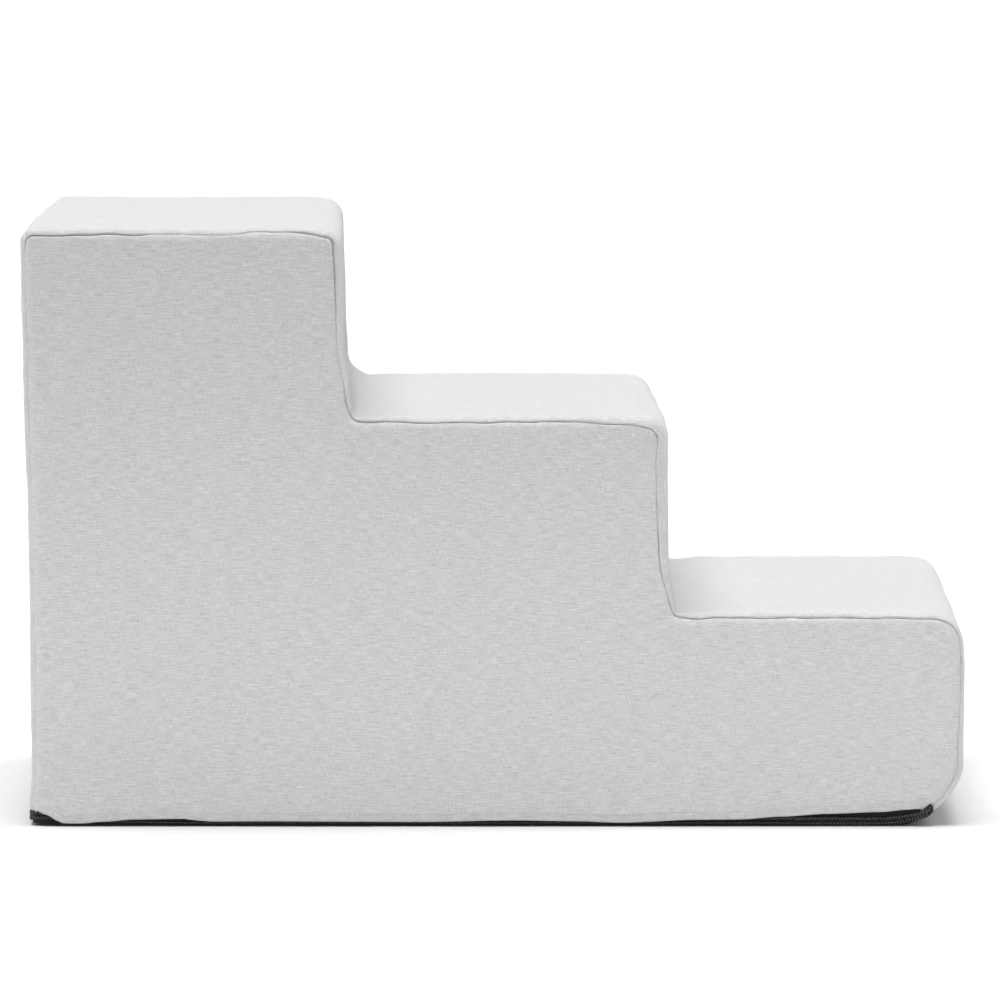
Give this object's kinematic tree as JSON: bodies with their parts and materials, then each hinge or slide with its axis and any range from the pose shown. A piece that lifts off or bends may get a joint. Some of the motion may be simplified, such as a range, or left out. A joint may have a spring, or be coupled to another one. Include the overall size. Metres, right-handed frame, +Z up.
{
  "type": "pet stairs",
  "caption": "Soft stepped pet stairs: a glued foam core in a sewn linen-look fabric cover that unzips round its bottom edge.",
  "frame": {"origin": "on the floor under the middle of the footprint", "axes": "+X towards the bottom step, +Z up, +Y away from the side panel seen from the front; the back face is at -X"},
  "size_m": [0.61, 0.4041, 0.385],
  "materials": {
    "foam": "open-cell polyurethane foam, matt",
    "cover_fabric": "light grey linen-look woven polyester, matt, slubbed",
    "base_fabric": "black plain-weave polyester with raised rubber grip dots",
    "zip_tape": "black woven polyester tape, matt",
    "zip_coil": "black nylon monofilament coil, satin",
    "black_thread": "black polyester sewing thread",
    "grey_thread": "grey polyester sewing thread",
    "slider_enamel": "black enamel on die-cast zinc, semi-gloss"
  },
  "bodies": {
    "stairs": {"foam_bottom_slab": "foam", "foam_middle_slab": "foam", "foam_top_slab": "foam", "near_side_panel": "cover_fabric", "far_side_panel": "cover_fabric", "step_strip": "cover_fabric", "back_panel": "cover_fabric", "base_panel": "base_fabric", "zip_upper_tape": "zip_tape", "zip_lower_tape": "zip_tape", "zip_upper_coil": "zip_coil", "zip_lower_coil": "zip_coil", "zip_end_tacks": "black_thread"},
    "zip_slider": {"slider_body": "slider_enamel"},
    "zip_pull": {"pull_tab": "slider_enamel"}
  },
  "joints": [
    {"name": "zip_slide", "type": "slide", "parent": "stairs", "child": "zip_slider", "axis": [-1, 0, 0], "range_m": [0, 0.572]},
    {"name": "pull_swing", "type": "hinge", "parent": "zip_slider", "child": "zip_pull", "pos_m": [0.285, 0.2022, 0.0063], "axis": [0, 0, -1], "range_deg": [0, 180]}
  ]
}
